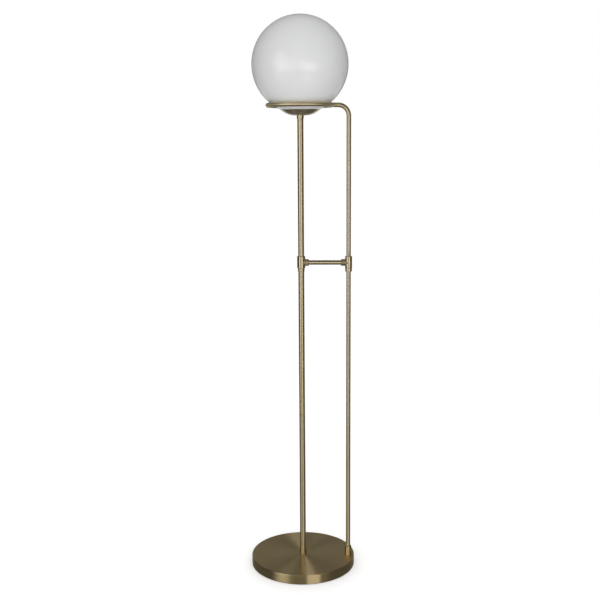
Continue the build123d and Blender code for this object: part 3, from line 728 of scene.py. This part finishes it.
def makeArm():
    low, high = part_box("arm")
    spacing = high.x - ringTube
    bend = spacing - ringRadius - ringTube - arm["straight"]
    bendFoot = ringHeight - bend
    steps = arm["uprightSteps"]
    east, north, up = Vector((1, 0, 0)), Vector((0, 1, 0)), Vector((0, 0, 1))

    def skin(radius, bevel):
        rows, middles = [], []
        heights = [(low.z, radius - bevel), (low.z + (bevel or arm["endRow"]), radius)]
        heights += [(low.z + (bendFoot - low.z) * i / steps, radius) for i in range(1, steps + 1)]
        for z, r in heights:
            middles.append(Vector((spacing, 0, z)))
            rows.append(circleOf(middles[-1], north, east, r, arm["sides"]))
        for i in range(1, arm["bendSteps"] + 1):
            turn = math.pi / 2 * i / arm["bendSteps"]
            out = Vector((math.cos(turn), 0, math.sin(turn)))
            middles.append(Vector((spacing - bend, 0, bendFoot)) + bend * out)
            rows.append(circleOf(middles[-1], north, out, radius, arm["sides"]))
        for setBack, r in ((bevel + arm["endRow"], radius), (0.0, radius - bevel)):
            # each point goes on to the ring's own round, a gap away from it
            middles.append(Vector((ringRadius + ringTube + setBack, 0, ringHeight)))
            rows.append(circleOf(middles[-1], north, up, r, arm["sides"]))
            for point in rows[-1]:
                lift = min(abs(point.z - ringHeight), ringTube)
                reach = ringRadius + math.sqrt((ringTube + arm["copeGap"]) ** 2 - lift * lift)
                point.x = math.sqrt(reach * reach - point.y * point.y) + setBack
        return rows, middles

    outer, middles = skin(ringTube, arm["endBevel"])
    inner, _ = skin(ringTube - arm["wall"], 0.0)
    lengths = [0.0]
    for before, after in zip(middles, middles[1:]):
        lengths.append(lengths[-1] + (after - before).length)
    tube = skinTube("bentArm", [outer, inner], lengths, False)
    standIn(tube, brassBent, "root", "arm")


makeRing()
makeArm()
print("ring and arm made")

# Outlines of one turn of thread, from root to root: shares of the pitch and of the depth.
metricShape = ((0.0, 0.0), (0.375, 1.0), (0.5, 1.0), (0.875, 0.0))
knuckleSteps = 10
knuckleTurns = [i / knuckleSteps for i in range(knuckleSteps)]
knuckleShape = [(share, 0.5 - 0.5 * math.cos(math.tau * share)) for share in knuckleTurns]
smoothUpTo = math.radians(32)    # edges that bend more than this are sharp
weldWithin = 1e-6


def helix(work, shape, crest, depth, pitch, bottom, top, sides, phase=0.0, outward=True):
    # one skin that climbs a pitch a turn; it has a turn to spare past each end, pressed flat to its root
    root = crest - depth
    turns = math.ceil((top - bottom) / pitch) + 2
    grid = {}
    count = len(shape)
    for k in range(sides * turns + 1):
        turn = math.tau * k / sides
        for j, (share, height) in enumerate(shape):
            z = bottom + pitch * (k / sides + share - 1 - phase)
            inside = bottom < z < top
            radius = root + depth * height if inside else root
            z = min(max(z, bottom), top)
            grid[k, j] = work.verts.new((radius * math.cos(turn), radius * math.sin(turn), z))
    for k in range(sides * turns):
        for j in range(count):
            nextK, nextJ = (k, j + 1) if j + 1 < count else (k + sides, 0)
            cornerKeys = [(k, j), (k + 1, j), (nextK + 1, nextJ), (nextK, nextJ)]
            if all(key in grid for key in cornerKeys):
                work.faces.new([grid[key] for key in (cornerKeys if outward else cornerKeys[::-1])])
    return root


def turnedSkin(work, outline, sides):
    # outline is a list of (radius, height); it is turned round the vertical axis
    turns = [math.tau * i / sides for i in range(sides)]
    rows = []
    for radius, z in outline:
        if radius < weldWithin:
            rows.append([work.verts.new((0, 0, z))] * sides)
        else:
            rows.append([work.verts.new((radius * math.cos(t), radius * math.sin(t), z)) for t in turns])
    for lower, upper in zip(rows, rows[1:]):
        for i in range(sides):
            j = (i + 1) % sides
            corners = list(dict.fromkeys((lower[i], lower[j], upper[j], upper[i])))
            if len(corners) > 2:
                work.faces.new(corners)


def closeUp(name, work):
    # welds the skins of a piece together and shades it
    bmesh.ops.remove_doubles(work, verts=work.verts, dist=2 * weldWithin)
    bmesh.ops.dissolve_degenerate(work, dist=weldWithin, edges=work.edges)
    bmesh.ops.recalc_face_normals(work, faces=work.faces)
    mesh = bpy.data.meshes.new(name)
    work.to_mesh(mesh)
    work.free()
    for face in mesh.polygons:
        face.use_smooth = True
    mesh.set_sharp_from_angle(angle=smoothUpTo)
    return linkObject(name, mesh)


# The globe: a blown sphere cut off flat at its mouth, with the ground edges rounded a little.
globe = {"wall": 3.0 * mm, "edgeRound": 0.6 * mm, "sides": 128, "steps": 72}


def makeGlobe():
    low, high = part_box("globe")
    outer = (high.x - low.x) / 2
    centre = high.z - outer
    edge, steps = globe["edgeRound"], globe["steps"]

    def arc(radius):
        start = math.asin((low.z + edge - centre) / radius)
        turns = [start + (math.pi / 2 - start) * i / steps for i in range(steps)]
        points = [(radius * math.cos(t), centre + radius * math.sin(t)) for t in turns]
        return points + [(0.0, centre + radius)]

    outside, inside = arc(outer), arc(outer - globe["wall"])
    rim = [inside[0], (inside[0][0] + edge, low.z), (outside[0][0] - edge, low.z), outside[0]]
    work = bmesh.new()
    turnedSkin(work, inside[::-1], globe["sides"])
    turnedSkin(work, rim, globe["sides"])
    turnedSkin(work, outside, globe["sides"])
    standIn(closeUp("opalGlobe", work), globeGlass, "globe", "globe")


# The threaded rods inside the posts, the foot and the dish. Their ends come from the CAD nodes, the rest
# is in millimetres, and crest and bore are radii.
threads = {
    "nipple": {"crest": 5.0, "bore": 4.0, "pitch": 1.0, "depth": 0.55, "sides": 24},
    "stud": {"crest": 4.0, "bore": 0.0, "pitch": 1.25, "depth": 0.7, "sides": 24},
}
rods = {"foot_nipple": "nipple", "joint_nipples": "nipple", "gallery_nipple": "nipple", "joint_studs": "stud"}


def addRod(work, thread, bottom, top, centre):
    crest, bore, depth, pitch = (thread[key] * mm for key in ("crest", "bore", "depth", "pitch"))
    sides = thread["sides"]
    rod = bmesh.new()
    root = helix(rod, metricShape, crest, depth, pitch, bottom, top, sides)
    if bore:
        turnedSkin(rod, [(root, bottom), (bore, bottom), (bore, top), (root, top)], sides)
    else:
        turnedSkin(rod, [(0, bottom), (root, bottom)], sides)
        turnedSkin(rod, [(0, top), (root, top)], sides)
    bmesh.ops.translate(rod, vec=(*centre, 0), verts=rod.verts)
    passing = bpy.data.meshes.new("rod")
    rod.to_mesh(passing)
    rod.free()
    work.from_mesh(passing)
    bpy.data.meshes.remove(passing)


def solidsOf(node):
    # the boxes of a node's separate solids, from the lowest up
    source = bmesh.new()
    source.from_mesh(cadNodes[node].data)
    bmesh.ops.remove_doubles(source, verts=source.verts, dist=weldWithin)
    left, boxes = set(source.verts), []
    while left:
        stack = [left.pop()]
        members = list(stack)
        while stack:
            for edge in stack.pop().link_edges:
                for vertex in edge.verts:
                    if vertex in left:
                        left.discard(vertex)
                        stack.append(vertex)
                        members.append(vertex)
        low = Vector([min(v.co[i] for v in members) for i in range(3)])
        high = Vector([max(v.co[i] for v in members) for i in range(3)])
        boxes.append((low, high))
    source.free()
    return sorted(boxes, key=lambda box: (box[0].z, box[0].x))


def middleOf(low, high):
    return (low.x + high.x) / 2, (low.y + high.y) / 2


def makeRods():
    for node, kind in rods.items():
        work = bmesh.new()
        for low, high in solidsOf(node):
            addRod(work, threads[kind], low.z, high.z, middleOf(low, high))
        standIn(closeUp("threaded_" + node, work), zincSteel, "root", node)


# The hexagon bolt that holds the side post; millimetres.
sideBolt = {
    "flats": 13.0,
    "headHeight": 5.3,
    "chamfer": 0.6,
    "faceShare": 0.94,           # the width of the chamfered face, as a share of the flats
}


def makeSideBolt():
    low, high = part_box("side_bolt")
    x, y = middleOf(low, high)
    headTop = low.z + sideBolt["headHeight"] * mm
    inside = sideBolt["flats"] * mm / 2
    corner = inside / math.cos(math.pi / 6)
    levels = ((low.z, inside * sideBolt["faceShare"]), (low.z + sideBolt["chamfer"] * mm, corner),
              (headTop, corner))
    turns = [math.pi / 3 * i for i in range(6)]
    work = bmesh.new()
    addRod(work, threads["stud"], headTop, high.z, (x, y))
    rows = []
    for z, r in levels:
        rows.append([work.verts.new((x + r * math.cos(t), y + r * math.sin(t), z)) for t in turns])
    for lower, upper in zip(rows, rows[1:]):
        for i in range(6):
            j = (i + 1) % 6
            work.faces.new([lower[i], lower[j], upper[j], upper[i]])
    work.faces.new(rows[0][::-1])
    work.faces.new(rows[-1])
    standIn(closeUp("threaded_side_bolt", work), zincSteel, "root", "side_bolt")


# The E27 thread, rolled in the bulb's cap and in the shell that it screws into; millimetres.
rolled = {"pitch": 3.629, "depth": 1.0, "sides": 72, "clearance": 0.3}
bulbCap = {"wall": 0.4, "cone": 4.0, "collar": 3.0}      # the thread runs from the cone to the collar
screwShell = {"wall": 0.3}


def radiusOf(node):
    low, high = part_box(node)
    return (high.x - low.x) / 2


def makeBulbCap():
    low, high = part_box("bulb_cap")
    depth, pitch, sides = rolled["depth"] * mm, rolled["pitch"] * mm, rolled["sides"]
    wall, tip = bulbCap["wall"] * mm, radiusOf("bulb_insulator")
    coneTop, collar = low.z + bulbCap["cone"] * mm, high.z - bulbCap["collar"] * mm
    work = bmesh.new()
    root = helix(work, knuckleShape, radiusOf("bulb_cap"), depth, pitch, coneTop, collar, sides)
    turnedSkin(work, [(0, low.z), (tip, low.z), (root, coneTop)], sides)
    turnedSkin(work, [(root, collar), (root, high.z), (root - wall, high.z), (root - wall, coneTop),
                      (tip - wall, low.z + wall), (0, low.z + wall)], sides)
    standIn(closeUp("threaded_bulb_cap", work), nickelPlate, "bulb", "bulb_cap")


def makeScrewShell():
    # in phase with the bulb's cap, so that the two are the clearance apart all the way
    low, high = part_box("screw_shell")
    depth, pitch, sides = rolled["depth"] * mm, rolled["pitch"] * mm, rolled["sides"]
    inner = radiusOf("bulb_cap") + rolled["clearance"] * mm
    outer = min(inner + screwShell["wall"] * mm, radiusOf("screw_shell"))
    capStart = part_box("bulb_cap")[0].z + bulbCap["cone"] * mm
    phase = 1 - (capStart - low.z) / pitch % 1.0
    work = bmesh.new()
    innerRoot = helix(work, knuckleShape, inner, depth, pitch, low.z, high.z, sides, phase, False)
    outerRoot = helix(work, knuckleShape, outer, depth, pitch, low.z, high.z, sides, phase)
    for z in (low.z, high.z):
        turnedSkin(work, [(innerRoot, z), (outerRoot, z)], sides)
    standIn(closeUp("threaded_screw_shell", work), stampedBrass, "root", "screw_shell")


makeGlobe()
makeRods()
makeSideBolt()
makeBulbCap()
makeScrewShell()
print("globe and threads made")

# What each CAD node is made of; the fasteners and inserts that aren't named are zinc-plated steel.
nodeFinish = {
    "foot_pad": evaFoam, "foot_cover": brassFoot, "foot_weight": castIron, "cord_bush": blackNylon,
    "lead": pvcSheath, "centre_ferrule": brassFerrule, "side_ferrule": brassFerrule,
    "centre_post_lower": brassUpright, "centre_post_middle": brassUpright, "centre_post_upper": brassUpright,
    "side_post_lower": brassUpright, "side_post_middle": brassUpright, "arm": brassUpright,
    "crossbar": brassAcross, "halo_ring": brassUpright, "centre_tee": brassFitting, "side_tee": brassFitting,
    "centre_tee_collar": brassFitting, "side_tee_collar": brassFitting, "dish_collar": brassFitting,
    "dish": brassDish, "globe": globeGlass, "globe_seat": silicone, "holder_cap": phenolic,
    "holder_skirt": phenolic, "holder_core": porcelain, "screw_shell": stampedBrass,
    "centre_contact": stampedBrass, "bulb_tip": solder, "bulb_insulator": blackGlass,
    "bulb_cap": nickelPlate, "bulb_housing": whitePbt, "light_board": boardCoat,
    "bulb_diffuser": opalPolycarbonate,
}
for nodeName, piece in cadNodes.items():
    piece.data.materials.clear()
    piece.data.materials.append(nodeFinish.get(nodeName, zincSteel))
print("finishes given")
